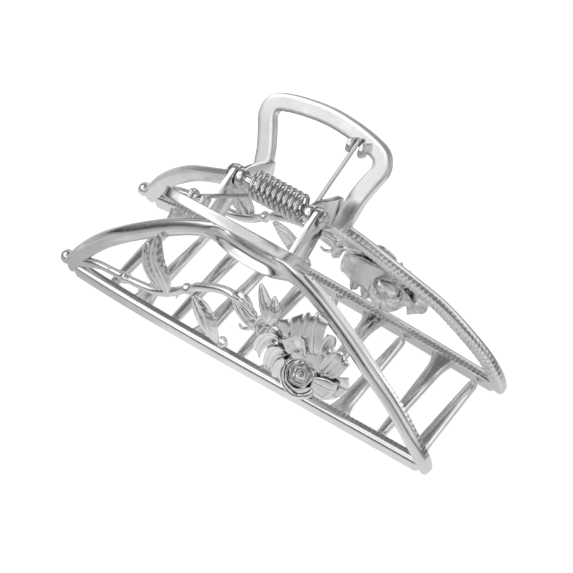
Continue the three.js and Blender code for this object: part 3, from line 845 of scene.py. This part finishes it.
def pieces_of(jaw):
    """Each of a jaw's pieces: the node it replaces, its mesh and its material."""
    yield "arch_rail", arch_rail(), CAST
    yield "base_rail", base_rail(), CAST
    yield "handle_loop", handle_loop(), BRUSHED
    yield "left_lug", lug_plate(jaw, -1), CAST
    yield "right_lug", lug_plate(jaw, 1), CAST
    apart = math.copysign(EAR["beside_arm"], jaw["arm_x"])
    yield "inner_spring_ear", spring_ear(jaw["arm_x"] - apart), CAST
    yield "outer_spring_ear", spring_ear(jaw["arm_x"] + apart), CAST
    yield "finial_ball", finial(), CAST
    yield "rose_stem", stem(), ORNAMENT
    yield "rose_bloom", rose_bloom(), ORNAMENT
    for number, blade in enumerate((leaf_pair, low_leaf, high_leaf, calyx_leaf), 1):
        yield f"leaf_{number}", blade(), ORNAMENT
    for number in range(5):
        yield f"tooth_{number + 1}", tooth_bar(jaw, number), CAST


def build_jaws():
    """Both jaws, each piece riding on its own jaw in place of its CAD node."""
    for jaw_name, jaw in JAWS.items():
        for node, (vertices, faces), material in pieces_of(jaw):
            piece = make_object(f"{jaw_name}_{node}_plated", vertices, faces, material, jaw["side"])
            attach(piece, f"{jaw_name}_jaw")
            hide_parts(f"{jaw_name}_{node}")


def build_hinge():
    """The pin, which rides on the rear jaw, and the spring, which turns from one jaw to the other."""
    pin = make_object("hinge_pin_plated", *hinge_pin(), WIRE)
    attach(pin, "rear_jaw")
    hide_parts("hinge_pin")
    spring = make_object("torsion_spring_wound", *torsion_spring(), WIRE)
    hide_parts("torsion_spring")
    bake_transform(spring)


# ---------------------------------------------------------------- the studio


def build_floor():
    """A flat floor under the clip."""
    mesh = bpy.data.meshes.new("floor")
    bm = bmesh.new()
    bmesh.ops.create_grid(bm, x_segments=1, y_segments=1, size=3)
    bm.to_mesh(mesh)
    bm.free()
    mesh.materials.append(floor_material())
    floor = bpy.data.objects.new("floor", mesh)
    bpy.context.scene.collection.objects.link(floor)


def build_world():
    """A white studio, with a dark band round the horizon and dim patches for the metal to reflect."""
    world = bpy.data.worlds.new("studio")
    world.use_nodes = True
    bpy.context.scene.world = world
    nodes, links = world.node_tree.nodes, world.node_tree.links
    nodes.clear()
    out = nodes.new("ShaderNodeOutputWorld")
    sky = nodes.new("ShaderNodeBackground")
    coordinates = nodes.new("ShaderNodeTexCoord")
    split = nodes.new("ShaderNodeSeparateXYZ")
    links.new(coordinates.outputs["Generated"], split.inputs["Vector"])
    rise = ramp(nodes, [(height, grey(value)) for height, value in SKY_RISE])
    links.new(split.outputs["Z"], rise.inputs["Fac"])
    patch = nodes.new("ShaderNodeTexNoise")
    patch.inputs["Scale"].default_value = 1.6
    patch.inputs["Detail"].default_value = 0.5
    links.new(coordinates.outputs["Generated"], patch.inputs["Vector"])
    dim = ramp(nodes, [(0.38, grey(0.2)), (0.46, grey(0.75)), (0.56, grey(1.0))])
    links.new(patch.outputs["Fac"], dim.inputs["Fac"])
    shine = multiply(nodes, links, rise, dim)
    links.new(shine.outputs["Result"], sky.inputs["Color"])
    sky.inputs["Strength"].default_value = 1.0
    links.new(sky.outputs["Background"], out.inputs["Surface"])


def area_light(name, place, size, power):
    """A soft rectangular light that points at the middle of the clip."""
    data = bpy.data.lights.new(name, "AREA")
    data.shape = "RECTANGLE"
    data.size, data.size_y = size
    data.energy = power
    lamp = bpy.data.objects.new(name, data)
    lamp.location = place
    lamp.rotation_euler = (Vector(CLIP_MIDDLE) - Vector(place)).to_track_quat("-Z", "Y").to_euler()
    bpy.context.scene.collection.objects.link(lamp)


def build_camera():
    """The camera, turned round the target."""
    data = bpy.data.cameras.new("camera")
    data.lens = CAMERA["lens"]
    data.sensor_width = CAMERA["sensor"]
    camera = bpy.data.objects.new("camera", data)
    tilt = Matrix.Rotation(math.radians(90 - CAMERA["elevation"]), 4, "X")
    turn = Matrix.Rotation(math.radians(90 + CAMERA["azimuth"]), 4, "Z")
    roll = Matrix.Rotation(math.radians(CAMERA["roll"]), 4, "Z")
    back = Matrix.Translation((0, 0, CAMERA["distance"] * MM))
    target = Matrix.Translation(HINGE + np.array(CAMERA["target"]) * MM)
    camera.matrix_world = target @ turn @ tilt @ roll @ back
    bpy.context.scene.collection.objects.link(camera)
    bpy.context.scene.camera = camera


bpy.context.scene.view_settings.view_transform = "Standard"
build_jaws()
build_hinge()
build_floor()
build_world()
area_light("key", **KEY_LIGHT)
area_light("rim", **RIM_LIGHT)
build_camera()
